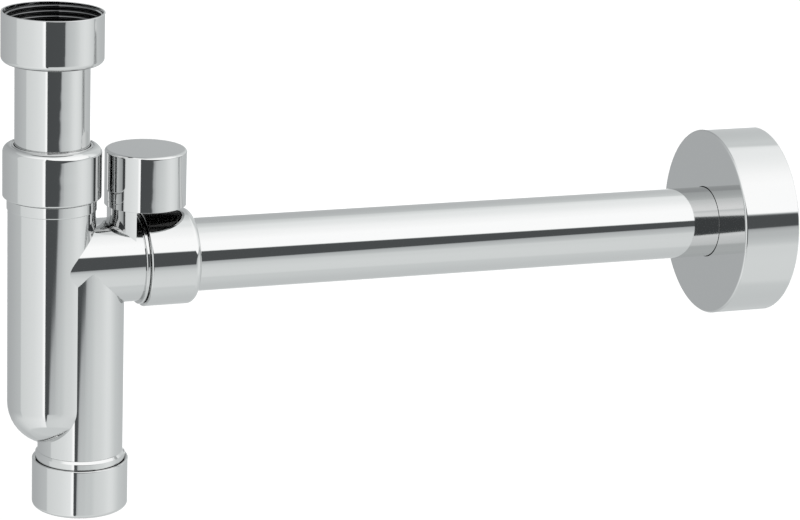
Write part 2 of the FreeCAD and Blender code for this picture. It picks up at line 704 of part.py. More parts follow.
def vent_hood():
    """A round cover with ribs inside, which centre it on the dish and rest on the dish's rim."""
    roof = "0 - hood_roof"
    bottom = "0 - hood_length"
    corners = [
        ("0", "0"),
        *upper_round("hood_radius", "0", "hood_round"),
        ("hood_radius", bottom),
        (HOOD_BORE, bottom),
        (HOOD_BORE, roof),
        ("0", roof),
    ]
    body = turned("vent_hood", corners, x=VENT_AXIS, z=f"{HOOD_BOTTOM} + hood_length")

    rib = new_sketch(body, "XZ_Plane", "rib_profile")
    in_wall = "hood_radius - hood_wall / 2"
    grip = f"{DISH_RADIUS} + rib_grip"
    ledge = f"{bottom} + dish_clearance + dish_height + face_gap"
    rib_top = f"{ledge} + rib_rise"
    rib_bottom = f"{bottom} + 2 * dish_clearance"
    inner = f"{DISH_RADIUS} - rib_step"
    outline(rib, [(in_wall, rib_bottom), (in_wall, rib_top), (inner, rib_top), (inner, ledge),
                  (grip, ledge), (grip, rib_bottom)])
    pad = centred_pad(body, rib, "rib", "rib_width")
    polar(body, pad, "ribs", "rib_count")
    return body


# The whole trap

def build_all():
    leg_end = "0 - leg_nut_drop"
    return [
        inlet_nut(),
        inlet_gasket(),
        inlet_tube(),
        compression_nut("leg_nut", UPWARDS, z=leg_end),
        slip_washer("leg_slip_washer", UPWARDS, z=leg_end),
        wedge_seal("leg_wedge_seal", UPWARDS, z=leg_end),
        threaded_ferrule("leg_ferrule", "leg_collar_step", "leg_collar_length", UPWARDS, z=leg_end),
        leg_tube(),
        riser_tube(),
        branch_tube(),
        threaded_ferrule("branch_ferrule", "branch_collar_step", "branch_collar_length", ALONG_X,
                         x=OUTLET_NUT_END, z=BRANCH_AXIS),
        wedge_seal("outlet_wedge_seal", ALONG_X, x=OUTLET_NUT_END, z=BRANCH_AXIS),
        slip_washer("outlet_slip_washer", ALONG_X, x=OUTLET_NUT_END, z=BRANCH_AXIS),
        compression_nut("outlet_nut", ALONG_X, x=OUTLET_NUT_END, z=BRANCH_AXIS),
        outlet_pipe(),
        wall_flange(),
        flange_ring(),
        cleanout_ferrule(),
        cap_seal(),
        cleaning_cap(),
        vent_boss(),
        vent_dish(),
        vent_seat(),
        vent_diaphragm(),
        vent_hood(),
    ]


def check_document():
    for item in doc.Objects:
        if "Invalid" in item.State or "Error" in item.State:
            raise RuntimeError(f"{item.Label} did not rebuild: {item.State}")


def check_shape(piece):
    shape = piece.Shape
    if shape.isNull() or not shape.isValid() or not shape.Solids:
        raise RuntimeError(f"{piece.Label} has no valid solid")
    return shape


pieces = build_all()
doc.recompute()
check_document()
shapes = {piece.Label: check_shape(piece) for piece in pieces}
os.makedirs("parts", exist_ok=True)
for name, shape in shapes.items():
    shape.exportStep(f"parts/{name}.step")
    print(f"{name}: {len(shape.Solids)} solid, {shape.Volume:.1f} mm3")
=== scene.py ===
import json
import math

import bmesh
import bpy
from mathutils import Matrix, Vector

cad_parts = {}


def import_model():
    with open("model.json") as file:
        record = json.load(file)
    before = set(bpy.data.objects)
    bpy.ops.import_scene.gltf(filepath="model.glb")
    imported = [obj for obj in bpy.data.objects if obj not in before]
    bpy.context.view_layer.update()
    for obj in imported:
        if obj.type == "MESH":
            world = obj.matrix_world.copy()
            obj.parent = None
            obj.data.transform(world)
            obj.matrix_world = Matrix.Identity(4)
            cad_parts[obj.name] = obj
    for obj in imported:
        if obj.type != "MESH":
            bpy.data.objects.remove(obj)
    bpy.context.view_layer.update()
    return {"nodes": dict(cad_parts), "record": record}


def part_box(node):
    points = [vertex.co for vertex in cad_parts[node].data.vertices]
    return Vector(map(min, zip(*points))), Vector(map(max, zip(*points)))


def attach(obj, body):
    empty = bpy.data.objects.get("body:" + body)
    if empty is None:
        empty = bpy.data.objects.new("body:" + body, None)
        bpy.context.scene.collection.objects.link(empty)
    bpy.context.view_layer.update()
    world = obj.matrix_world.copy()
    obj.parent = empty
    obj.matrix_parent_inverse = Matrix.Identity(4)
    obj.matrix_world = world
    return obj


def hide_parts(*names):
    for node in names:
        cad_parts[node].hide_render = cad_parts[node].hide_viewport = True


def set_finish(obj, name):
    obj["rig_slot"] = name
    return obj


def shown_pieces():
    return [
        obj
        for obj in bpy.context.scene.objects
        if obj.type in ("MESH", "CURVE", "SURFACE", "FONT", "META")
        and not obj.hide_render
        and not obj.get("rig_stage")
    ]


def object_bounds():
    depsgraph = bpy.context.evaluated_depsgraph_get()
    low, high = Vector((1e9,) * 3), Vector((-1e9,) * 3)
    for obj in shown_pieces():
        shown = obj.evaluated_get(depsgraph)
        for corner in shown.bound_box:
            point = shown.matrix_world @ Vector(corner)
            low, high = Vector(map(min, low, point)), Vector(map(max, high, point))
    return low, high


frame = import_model()

# A chromed basin trap, seen from its front left and a little above. Outlines are in millimetres in the
# frame's own axes: the origin is the centre of the inlet nut's mouth, +Z is up and +X runs to the wall.

MM = 0.001
NOTHING = 0.000001              # a shorter length counts as none
SIDES = 192                     # facets around a turned piece
ARC_STEP = math.radians(7.5)    # turn of an outline from one point of a rounding to the next
SOFT_EDGE = 0.2                 # rounding that polishing leaves on an edge
FINE_EDGE = 0.1                 # the same on a thin wall


# Sizes read from the frame

def low(node):
    """The lowest corner of a node's box, in millimetres."""
    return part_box(node)[0] / MM


def high(node):
    """The highest corner of a node's box, in millimetres."""
    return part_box(node)[1] / MM


def middle(node):
    return (low(node) + high(node)) / 2


def radius(node):
    """The outside radius of a round piece, from its width across."""
    return (high(node).y - low(node).y) / 2


TUBE_RADIUS = radius("outlet_pipe")
LEG_RADIUS = radius("leg_tube")
LEG_TOP = high("leg_tube").z
LEG_BOTTOM = low("leg_tube").z
LEG_CENTRE = LEG_BOTTOM + LEG_RADIUS            # centre of the leg's ball end
RISER_RADIUS = radius("riser_tube")
RISER_AXIS = middle("cleaning_cap").x
RISER_BOTTOM = low("riser_tube").z
BRANCH_AXIS = middle("outlet_pipe").z
BRANCH_END = high("branch_tube").x
VENT_AXIS = middle("vent_hood").x

# Sizes that the tubes and the joints share

TUBE_WALL = 1.0                 # wall of the inlet tube and the outlet pipe
BODY_WALL = 1.0                 # wall of the leg, the riser and the branch
SLIDE_GAP = 0.3                 # clearance of the holes that a tube slides in
FACE_GAP = 0.05                 # clearance between faces that press on each other
TUBE_HOLE = TUBE_RADIUS + SLIDE_GAP
TUBE_BORE = TUBE_RADIUS - TUBE_WALL
BODY_BORE = RISER_RADIUS - BODY_WALL

THREAD_PITCH = 2.309
THREAD_RADIUS = 18.9            # outside radius of the three compression threads
THREAD_HEIGHT = 0.55            # height of their ridges
THREAD_CORE = THREAD_RADIUS - THREAD_HEIGHT
THREAD_GAP = 0.15               # clearance of the nuts and the cap around them
NUT_BORE = THREAD_RADIUS + THREAD_GAP
INLET_THREAD_HEIGHT = 1.45      # ridges of the inlet thread


# Where a piece's own upright axis goes: its x and z place, and whether it lies along the outlet pipe

def upright(x=0.0, z=0.0):
    return Matrix.Translation((x, 0, z))


def along_pipe(x=0.0):
    return Matrix.Translation((x, 0, BRANCH_AXIS)) @ Matrix.Rotation(math.pi / 2, 4, "Y")


# Turned pieces

def rounded_outline(corners):
    """The points of a closed outline, each with the outward normals of the edges before and after it.

    A corner is (radius, height) or (radius, height, rounding).
    """
    spots = [Vector(corner[:2]) for corner in corners]
    area = sum(spots[i - 1].cross(spots[i]) for i in range(len(spots)))
    if area < 0:
        return rounded_outline(corners[::-1])
    points = []
    for i, here in enumerate(spots):
        way_in = (here - spots[i - 1]).normalized()
        way_out = (spots[(i + 1) % len(spots)] - here).normalized()
        normal_in = Vector((way_in.y, -way_in.x))
        normal_out = Vector((way_out.y, -way_out.x))
        turn = math.atan2(way_in.cross(way_out), way_in.dot(way_out))
        size = corners[i][2] if len(corners[i]) > 2 else 0
        if not size:
            points.append((here, normal_in, normal_out))
            continue
        side = math.copysign(1, turn)
        centre = here - way_in * size * math.tan(abs(turn) / 2) - normal_in * size * side
        steps = math.ceil(abs(turn) / ARC_STEP)
        for k in range(steps + 1):
            normal = Matrix.Rotation(turn * k / steps, 2) @ normal_in
            points.append((centre + normal * size * side, normal, normal))
    return points


def around(point, turn):
    """A point of an outline, or a normal, turned about the axis by a number of facets."""
    angle = 2 * math.pi * turn / SIDES
    return Vector((point.x * math.cos(angle), point.x * math.sin(angle), point.y))


def turned_mesh(name, corners, place):
    """A closed solid turned about its own Z from an outline, shaded with its true normals."""
    outline = rounded_outline(corners)
    verts, rings = [], []
    for point, _, _ in outline:
        rings.append(len(verts))
        if point.x < NOTHING:
            verts.append(Vector((0, 0, point.y)))
        else:
            verts.extend(around(point, side) for side in range(SIDES))
    faces, normals = [], []
    for i, (start, _, start_normal) in enumerate(outline):
        j = (i + 1) % len(outline)
        end, end_normal, _ = outline[j]
        if (end - start).length < NOTHING or max(start.x, end.x) < NOTHING:
            continue
        for side in range(SIDES):
            face, face_normals = [], []
            for ring, point, normal, turn in ((rings[i], start, start_normal, side),
                                              (rings[i], start, start_normal, side + 1),
                                              (rings[j], end, end_normal, side + 1),
                                              (rings[j], end, end_normal, side)):
                spot = ring if point.x < NOTHING else ring + turn % SIDES
                if spot not in face:
                    face.append(spot)
                    face_normals.append(around(normal, turn))
            faces.append(face)
            normals.extend(face_normals)
    spin = place.to_3x3()
    mesh = bpy.data.meshes.new(name)
    mesh.from_pydata([(place @ v) * MM for v in verts], [], faces)
    mesh.shade_smooth()
    mesh.normals_split_custom_set([spin @ n for n in normals])
    return mesh


def linked(name, mesh):
    """An object of a mesh, in the scene."""
    thing = bpy.data.objects.new(name, mesh)
    bpy.context.scene.collection.objects.link(thing)
    return thing


def as_piece(name, mesh, body, slot, *nodes):
    """A mesh as a piece of the trap that rides on a body and stands for its CAD nodes."""
    piece = linked(name, mesh)
    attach(piece, body)
    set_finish(piece, slot)
    if nodes:
        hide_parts(*nodes)


def turned(name, corners, place, body, node):
    as_piece(name, turned_mesh(name, corners, place), body, "chrome", node)


# Pieces cut to each other

SEAM = 0.003                    # corners nearer than this are joined after a cut
WALL_TOLERANCE = 0.06           # how far a facet's middle may lie from the round wall that it belongs to
FACING = 0.995                  # how squarely that facet faces out of the wall, as a cosine
BALL_CLEAR = 0.001              # keeps a ball's rounding just short of its pole
MITRE_CLEAR = 0.02              # lets a cut pass just outside a wall of the same radius
CUT_SPARE = 0.5                 # how far a block reaches past what it cuts


def tube_block(outer, start, end, place, bore=0.0):
    """A plain round bar or tube, to cut with or to be cut."""
    corners = [(bore, start), (outer, start), (outer, end), (bore, end)]
    return linked("block", turned_mesh("block", corners, place))


def box_block(lowest, highest):
    corners = [(x, y, z) for x in (lowest[0], highest[0]) for y in (lowest[1], highest[1])
               for z in (lowest[2], highest[2])]
    faces = [(0, 1, 3, 2), (4, 6, 7, 5), (0, 4, 5, 1), (2, 3, 7, 6), (0, 2, 6, 4), (1, 5, 7, 3)]
    mesh = bpy.data.meshes.new("block")
    mesh.from_pydata([Vector(corner) * MM for corner in corners], [], faces)
    return linked("block", mesh)


def add_cut(base, operation, block):
    modifier = base.modifiers.new(operation.lower(), "BOOLEAN")
    modifier.operation = operation
    modifier.solver = "EXACT"
    modifier.object = block


def carved(base, steps):
    """The base after each (operation, block) step, as a mesh. The base and the blocks are used up."""
    for operation, block in steps:
        add_cut(base, operation, block)
    depsgraph = bpy.context.evaluated_depsgraph_get()
    mesh = bpy.data.meshes.new_from_object(base.evaluated_get(depsgraph))
    for block in [base] + [block for _, block in steps]:
        bpy.data.objects.remove(block)
    close_seams(mesh)
    return mesh


def close_seams(mesh):
    """Join corners that a cut left a hair apart, and take out the slivers between them."""
    work = bmesh.new()
    work.from_mesh(mesh)
    bmesh.ops.remove_doubles(work, verts=work.verts, dist=SEAM * MM)
    bmesh.ops.dissolve_degenerate(work, edges=work.edges, dist=SEAM * MM)
    work.to_mesh(mesh)
    work.free()


def from_axis(spot, point, axis):
    """The shortest way from an axis, or from a ball's centre, to a spot."""
    away = spot - Vector(point)
    if axis is None:
        return away
    direction = Vector(axis)
    return away - direction * away.dot(direction)


def wall_of(face, walls):
    """The round wall that a facet belongs to, or None."""
    for point, axis, size, side in walls:
        reach = from_axis(face.center / MM, point, axis)
        near = abs(reach.length - size) < WALL_TOLERANCE
        if near and reach.normalized().dot(face.normal) * side > FACING:
            return point, axis, side
    return None


def shade_round(mesh, walls):
    """Give a carved mesh the true normals of its round walls.

    A wall is (point on its axis, direction of its axis or None for a ball, radius, 1 outside or -1 inside).
    """
    normals = [None] * len(mesh.loops)
    for face in mesh.polygons:
        wall = wall_of(face, walls)
        for loop in face.loop_indices:
            if wall:
                point, axis, side = wall
                corner = mesh.vertices[mesh.loops[loop].vertex_index].co / MM
                normals[loop] = from_axis(corner, point, axis).normalized() * side
            else:
                normals[loop] = face.normal.copy()
    mesh.shade_smooth()
    mesh.normals_split_custom_set(normals)


def upright_wall(x, size, side):
    return ((x, 0, 0), (0, 0, 1), size, side)


def branch_wall(size, side):
    return ((0, 0, BRANCH_AXIS), (1, 0, 0), size, side)


# Node trees

def new_tree(name, kind, inputs, outputs):
    """A node group with named inputs and outputs, and its input and output nodes."""
    tree = bpy.data.node_groups.new(name, kind)
    for label, socket_kind, value in inputs:
        socket = tree.interface.new_socket(label, in_out="INPUT", socket_type=socket_kind)
        if value is not None:
            socket.default_value = value
    for label, socket_kind in outputs:
        tree.interface.new_socket(label, in_out="OUTPUT", socket_type=socket_kind)
    return tree, tree.nodes.new("NodeGroupInput"), tree.nodes.new("NodeGroupOutput")


def add_node(tree, kind, links=None, **settings):
    """A node with its settings, and its inputs set to values or linked from sockets."""
    node = tree.nodes.new(kind)
    for name, value in settings.items():
        setattr(node, name, value)
    for name, value in (links or {}).items():
        if isinstance(value, bpy.types.NodeSocket):
            tree.links.new(value, node.inputs[name])
        else:
            node.inputs[name].default_value = value
    return node


def sum_of(tree, operation, first, second=0.0):
    """The output of a Math node of one or two numbers."""
    return add_node(tree, "ShaderNodeMath", {0: first, 1: second}, operation=operation).outputs[0]


def product(tree, first, second):
    return sum_of(tree, "MULTIPLY", first, second)


# Threads

SPIRAL_STEPS = 96               # points in one turn of a ridge
THIN_END = 0.05                 # size of a ridge at its very ends, as a share of its full size
RIDGE_SUNK = 0.05               # how far a ridge's foot reaches into its wall
RIDGE_FOOT = 0.85               # an inlet ridge's foot, as a share of the pitch
RIDGE_TIP = 0.12                # a ridge's tip, as a share of the pitch
RUN_OUT = 0.06                  # share of the spiral along which a ridge grows or fades


def thread_tree():
    """A screw thread's ridge: a spiral that carries a tapered section and runs out at both ends."""
    inputs = [("Radius", "NodeSocketFloat", 0.02), ("Pitch", "NodeSocketFloat", 0.002),
              ("Turns", "NodeSocketFloat", 5.0), ("Foot", "NodeSocketFloat", 0.002),
              ("Tip", "NodeSocketFloat", 0.0005), ("Height", "NodeSocketFloat", 0.001),
              ("Run Out", "NodeSocketFloat", 0.05), ("Finish", "NodeSocketMaterial", None)]
    tree, given, result = new_tree("thread_ridge", "GeometryNodeTree", inputs,
                                   [("Ridge", "NodeSocketGeometry")])
    value = given.outputs
    spiral = add_node(tree, "GeometryNodeCurveSpiral", {
        "Resolution": SPIRAL_STEPS, "Rotations": value["Turns"], "Start Radius": value["Radius"],
        "End Radius": value["Radius"], "Height": product(tree, value["Pitch"], value["Turns"])})
    way = add_node(tree, "GeometryNodeSplineParameter").outputs["Factor"]
    nearest_end = sum_of(tree, "MINIMUM", way, sum_of(tree, "SUBTRACT", 1.0, way))
    fade = sum_of(tree, "DIVIDE", nearest_end, value["Run Out"])
    full = sum_of(tree, "MINIMUM", sum_of(tree, "MAXIMUM", fade, THIN_END), 1.0)
    sized = add_node(tree, "GeometryNodeSetCurveRadius", {"Curve": spiral.outputs[0], "Radius": full})
    level = add_node(tree, "GeometryNodeSetCurveNormal", {"Curve": sized.outputs[0]}, mode="Z_UP")
    section = add_node(tree, "GeometryNodeCurvePrimitiveQuadrilateral", {
        "Bottom Width": value["Foot"], "Top Width": value["Tip"], "Height": value["Height"],
        "Offset": 0.0}, mode="TRAPEZOID")
    ridge = add_node(tree, "GeometryNodeCurveToMesh", {
        "Curve": level.outputs[0], "Profile Curve": section.outputs[0], "Fill Caps": True})
    whole = add_node(tree, "GeometryNodeRealizeInstances", {"Geometry": ridge.outputs[0]})
    done = add_node(tree, "GeometryNodeSetMaterial", {
        "Geometry": whole.outputs[0], "Material": value["Finish"]})
    tree.links.new(done.outputs[0], result.inputs[0])
    return tree


def grown(name, tree, values):
    """The mesh that a geometry tree makes from named values."""
    carrier = linked(name, bpy.data.meshes.new(name))
    modifier = carrier.modifiers.new(name, "NODES")
    modifier.node_group = tree
    sockets = {item.name: item.identifier for item in tree.interface.items_tree if item.in_out == "INPUT"}
    for label, value in values.items():
        modifier[sockets[label]] = value
    depsgraph = bpy.context.evaluated_depsgraph_get()
    mesh = bpy.data.meshes.new_from_object(carrier.evaluated_get(depsgraph))
    carrier.modifiers.clear()
    bpy.data.objects.remove(carrier)
    return mesh


def thread(name, place, root, outwards, height, start, end, body):
    """A thread's ridge from start to end along its piece's axis, standing on a wall at the root radius."""
    side = 1 if outwards else -1
    pitch_line = root + side * (height / 2 - RIDGE_SUNK)
    mesh = grown(name, THREAD_RIDGE, {
        "Radius": pitch_line, "Pitch": THREAD_PITCH, "Turns": (end - start) / THREAD_PITCH,
        "Foot": THREAD_PITCH * RIDGE_FOOT * height / INLET_THREAD_HEIGHT, "Tip": THREAD_PITCH * RIDGE_TIP,
        "Height": height, "Run Out": RUN_OUT, "Finish": POLISHED_CHROME})
    mesh.transform(Matrix.Scale(MM, 4) @ place @ Matrix.Translation((0, 0, start)))
    as_piece(name, mesh, body, "chrome")


def compression_thread(name, place, start, end):
    """The ridge of a compression thread, on the core of its ferrule."""
    thread(name, place, THREAD_CORE, True, THREAD_HEIGHT + RIDGE_SUNK, start, end, "trap")


# Finishes: in the marks, scales are per metre and the rest are shares. Waves and grain are heights in metres

CHROME = (0.636, 0.64, 0.64)
CHROME_MARKS = {"Mark Scale": 900.0, "Wave Scale": 90.0, "Roughness": 0.03, "Spread": 0.02}
CHROME_WAVES = 0.000002
TURNED_MARKS = {**CHROME_MARKS, "Wave Scale": 110.0, "Across": 0.12}
TURNED_WAVES = 0.00004
# Painted shade: a darker base colour stands for the shade deep in the inlet nut's threaded bore
BORE_SHADE_COLOR = (0.16, 0.162, 0.165)
BORE_SHADE_RADIUS = 21.05             # painted shade: the bore's base colour is darker inside this radius
BORE_SHADE_DEPTH = 0.9                # and deeper in the bore than this
RUBBER_BLACK = (0.018, 0.018, 0.018)
RUBBER_MARKS = {"Mark Scale": 1500.0, "Wave Scale": 2500.0, "Roughness": 0.5, "Spread": 0.2}
RUBBER_GRAIN = 0.00002
RUBBER_SPECULAR = 0.35
MOULDED_WHITE = (0.72, 0.72, 0.7)
MOULDED_MARKS = {"Mark Scale": 700.0, "Wave Scale": 400.0, "Roughness": 0.35, "Spread": 0.1}
MOULDED_GRAIN = 0.00001
GLOSSY_BLACK = (0.012, 0.012, 0.012)
GLOSSY_MARKS = {**MOULDED_MARKS, "Roughness": 0.03, "Spread": 0.02}
GLOSSY_GRAIN = 0.000002


def polish_tree():
    """Faint marks of polishing: what they add to roughness, and the height of a slight waviness.

    Across is the waviness around an upright piece, as a share of the waviness along it.
    """
    inputs = [("Mark Scale", "NodeSocketFloat", 300.0), ("Wave Scale", "NodeSocketFloat", 60.0),
              ("Across", "NodeSocketFloat", 1.0), ("Roughness", "NodeSocketFloat", 0.04),
              ("Spread", "NodeSocketFloat", 0.02)]
    tree, given, result = new_tree("polish", "ShaderNodeTree", inputs,
                                   [("Roughness", "NodeSocketFloat"), ("Height", "NodeSocketFloat")])
    value = given.outputs
    place = add_node(tree, "ShaderNodeTexCoord").outputs["Object"]
    marks = add_node(tree, "ShaderNodeTexNoise", {
        "Vector": place, "Scale": value["Mark Scale"], "Detail": 4.0})
    stretch = add_node(tree, "ShaderNodeCombineXYZ", {
        0: value["Across"], 1: value["Across"], 2: 1.0}).outputs[0]
    drawn = add_node(tree, "ShaderNodeVectorMath", {0: place, 1: stretch}, operation="MULTIPLY").outputs[0]
    waves = add_node(tree, "ShaderNodeTexNoise", {
        "Vector": drawn, "Scale": value["Wave Scale"], "Detail": 1.0})
    spread = product(tree, marks.outputs[0], value["Spread"])
    tree.links.new(sum_of(tree, "ADD", spread, value["Roughness"]), result.inputs["Roughness"])
    tree.links.new(waves.outputs[0], result.inputs["Height"])
    return tree


def bore_shade_tree():
    """Chrome outside a radius and near the mouth, and painted shade deeper in the bore: a darker base colour
    where the recess lies in shade.
    """
    inputs = [("Radius", "NodeSocketFloat", 0.021), ("Depth", "NodeSocketFloat", 0.001)]
    tree, given, result = new_tree("painted_bore_shade", "ShaderNodeTree", inputs, [("Color", "NodeSocketColor")])
    place = add_node(tree, "ShaderNodeTexCoord").outputs["Object"]
    parts = add_node(tree, "ShaderNodeSeparateXYZ", {0: place}).outputs
    across = add_node(tree, "ShaderNodeCombineXYZ", {0: parts[0], 1: parts[1], 2: 0.0}).outputs[0]
    reach = add_node(tree, "ShaderNodeVectorMath", {0: across}, operation="LENGTH").outputs["Value"]
    inside = sum_of(tree, "LESS_THAN", reach, given.outputs["Radius"])
    depth = product(tree, parts[2], -1.0)
    share = product(tree, inside, sum_of(tree, "GREATER_THAN", depth, given.outputs["Depth"]))
    # painted shade: the darker colour where the bore lies in shade
    color = mixed_color(tree, share, (*CHROME, 1), (*BORE_SHADE_COLOR, 1))
    tree.links.new(color, result.inputs["Color"])
    return tree


def mixed_color(tree, share, first, second):
    """The colour of a Mix node. Its colour sockets are those numbered 6 and 7, and output 2."""
    return add_node(tree, "ShaderNodeMix", {0: share, 6: first, 7: second}, data_type="RGBA").outputs[2]


def new_material(name, color, metallic=0.0, specular=0.5):
    material = bpy.data.materials.new(name)
    material.use_nodes = True
    shader = material.node_tree.nodes["Principled BSDF"]
    shader.inputs["Base Color"].default_value = (*color, 1)
    shader.inputs["Metallic"].default_value = metallic
    shader.inputs["Specular IOR Level"].default_value = specular
    return material, material.node_tree, shader


def finish_of(name, color, marks, bump, metallic=0.0, specular=0.5):
    """A material whose roughness and slight relief come from the polish tree."""
    material, tree, shader = new_material(name, color, metallic, specular)
    group = add_node(tree, "ShaderNodeGroup", node_tree=POLISH)
    for label, value in marks.items():
        group.inputs[label].default_value = value
    relief = add_node(tree, "ShaderNodeBump", {
        "Height": group.outputs["Height"], "Strength": 1.0, "Distance": bump})
    tree.links.new(group.outputs["Roughness"], shader.inputs["Roughness"])
    tree.links.new(relief.outputs[0], shader.inputs["Normal"])
    return material


def chrome_with_bore_shade():
    """Turned chrome with painted shade, a darker base colour, deep inside the inlet nut's bore."""
    material = finish_of("chrome_painted_bore_shade", CHROME, TURNED_MARKS, TURNED_WAVES, metallic=1.0)
    tree = material.node_tree
    group = add_node(tree, "ShaderNodeGroup", node_tree=bore_shade_tree())
    group.inputs["Radius"].default_value = BORE_SHADE_RADIUS * MM
    group.inputs["Depth"].default_value = BORE_SHADE_DEPTH * MM
    tree.links.new(group.outputs["Color"], tree.nodes["Principled BSDF"].inputs["Base Color"])
    return material


THREAD_RIDGE = thread_tree()
POLISH = polish_tree()
POLISHED_CHROME = finish_of("polished_chrome", CHROME, CHROME_MARKS, CHROME_WAVES, metallic=1.0)
TURNED_CHROME = finish_of("turned_chrome", CHROME, TURNED_MARKS, TURNED_WAVES, metallic=1.0)
# chrome with painted shade in the inlet nut's bore
BORE_SHADED_CHROME = chrome_with_bore_shade()
BLACK_RUBBER = finish_of("black_rubber", RUBBER_BLACK, RUBBER_MARKS, RUBBER_GRAIN, specular=RUBBER_SPECULAR)
WHITE_PLASTIC = finish_of("white_plastic", MOULDED_WHITE, MOULDED_MARKS, MOULDED_GRAIN)
BLACK_PLASTIC = finish_of("black_plastic", GLOSSY_BLACK, GLOSSY_MARKS, GLOSSY_GRAIN)


# The inlet

def inlet_nut():
    bottom = low("inlet_nut").z
    outer = radius("inlet_nut")
    floor_top = bottom + 3.0
    thread_end = -14.0
    thread_root = 20.955
    recess = 20.3
    mouth_edge = 0.3
    shoulder = 2.6
    corners = [
        (thread_root, 0, FINE_EDGE),
        (outer, 0, mouth_edge),
        (outer, bottom, shoulder),
        (TUBE_HOLE, bottom, SOFT_EDGE),
        (TUBE_HOLE, floor_top, SOFT_EDGE),
        (recess, floor_top),
        (recess, thread_end, FINE_EDGE),
        (thread_root, thread_end),
    ]
    turned("plated_inlet_nut", corners, upright(), "inlet_coupling", "inlet_nut")
    ridge_start = thread_end + 0.9
    ridge_end = -1.3
    thread("inlet_thread", upright(), thread_root, False, INLET_THREAD_HEIGHT, ridge_start, ridge_end,
           "inlet_coupling")


def inlet_tube():
    bottom = low("inlet_tube").z
    rim_top = high("inlet_tube").z
    rim_bottom = rim_top - 1.5
    rim = radius("inlet_tube")
    corners = [
        (TUBE_BORE, rim_top, SOFT_EDGE),
        (rim, rim_top, SOFT_EDGE),
        (rim, rim_bottom, SOFT_EDGE),
        (TUBE_RADIUS, rim_bottom, SOFT_EDGE),
        (TUBE_RADIUS, bottom, SOFT_EDGE),
        (TUBE_BORE, bottom, SOFT_EDGE),
    ]
    turned("plated_inlet_tube", corners, upright(), "inlet_pipe", "inlet_tube")


# Compression joints: heights run from the nut's outer end

NUT_LENGTH = 22.6
NUT_COVER = 3.0                 # thickness of the nut's outer end, which holds the washer in
NUT_ROUND = 3.25
WASHER = 1.2                    # thickness of the slip washer under it
SEAL_RIM = 1.5                  # thickness of the wedge seal's rim under the washer


def compression_nut(name, place, body, node):
    outer = radius(node)
    lip = TUBE_HOLE + 0.9
    groove = -0.5
    crest = outer - NUT_ROUND - 0.15
    crest_edge = 0.12
    foot_edge = 0.8
    corners = [
        (TUBE_HOLE, 0, SOFT_EDGE),
        (lip, 0, SOFT_EDGE),
        (lip, groove),
        (crest, groove),
        (crest, 0, crest_edge),
        (outer, 0, NUT_ROUND),
        (outer, -NUT_LENGTH, foot_edge),
        (NUT_BORE, -NUT_LENGTH, SOFT_EDGE),
        (NUT_BORE, -NUT_COVER),
        (TUBE_HOLE, -NUT_COVER, SOFT_EDGE),
    ]
    turned(name, corners, place, body, node)


def threaded_ferrule(name, place, node, collar_length):
    collar = radius(node)
    top = -NUT_COVER - FACE_GAP - WASHER - FACE_GAP - SEAL_RIM - FACE_GAP
    collar_top = -NUT_LENGTH - 0.5
    collar_edge = 0.25
    end = collar_top - collar_length
    end_edge = 0.5
    seal_mouth = TUBE_HOLE + 1.6
    seal_foot = top - 3.5
    corners = [
        (seal_mouth, top, FINE_EDGE),
        (THREAD_CORE, top, FINE_EDGE),
        (THREAD_CORE, collar_top),
        (collar, collar_top, collar_edge),
        (collar, end, end_edge),
        (TUBE_HOLE, end),
        (TUBE_HOLE, seal_foot),
    ]
    turned(name, corners, place, "trap", node)
    ridge_start = collar_top + 1.2
    ridge_end = top - 0.6
    compression_thread(name + "_thread", place, ridge_start, ridge_end)


def inlet_joint():
    place = upright(z=high("leg_nut").z)
    collar_length = 4.9
    compression_nut("plated_leg_nut", place, "leg_coupling", "leg_nut")
    threaded_ferrule("plated_leg_ferrule", place, "leg_ferrule", collar_length)


def outlet_joint():
    place = along_pipe(x=high("outlet_nut").x)
    collar_length = 1.5
    compression_nut("plated_outlet_nut", place, "outlet_coupling", "outlet_nut")
    threaded_ferrule("plated_branch_ferrule", place, "branch_ferrule", collar_length)


# The brazed tubes

WINDOW_TOP = -175.0             # the passage from the leg into the riser
WINDOW_HEIGHT = 13.0
WINDOW_WIDTH = 22.0
WINDOW_START = 5.0
WINDOW_END = 30.0


def leg_block():
    """The leg's outer form, to cut the riser and the branch to."""
    corners = [
        (0, 0),
        (LEG_RADIUS, 0),
        (LEG_RADIUS, LEG_BOTTOM, LEG_RADIUS - BALL_CLEAR),
        (0, LEG_BOTTOM),
    ]
    return linked("block", turned_mesh("block", corners, upright()))


def leg_walls(size, side):
    """The leg's round wall and its ball end."""
    return [upright_wall(0, size, side), ((0, 0, LEG_CENTRE), None, size, side)]


def leg_tube():
    bore = LEG_RADIUS - BODY_WALL
    bore_bottom = LEG_BOTTOM + BODY_WALL
    corners = [
        (bore, LEG_TOP),
        (LEG_RADIUS, LEG_TOP),
        (LEG_RADIUS, LEG_BOTTOM, LEG_RADIUS - BALL_CLEAR),
        (0, LEG_BOTTOM),
        (0, bore_bottom),
        (bore, bore_bottom, bore - BALL_CLEAR),
    ]
    base = linked("leg", turned_mesh("leg", corners, upright()))
    window = box_block((WINDOW_START, -WINDOW_WIDTH / 2, WINDOW_TOP - WINDOW_HEIGHT),
                       (WINDOW_END, WINDOW_WIDTH / 2, WINDOW_TOP))
    mesh = carved(base, [("DIFFERENCE", window)])
    shade_round(mesh, leg_walls(LEG_RADIUS, 1) + leg_walls(bore, -1))
    as_piece("plated_leg", mesh, "trap", "chrome", "leg_tube")


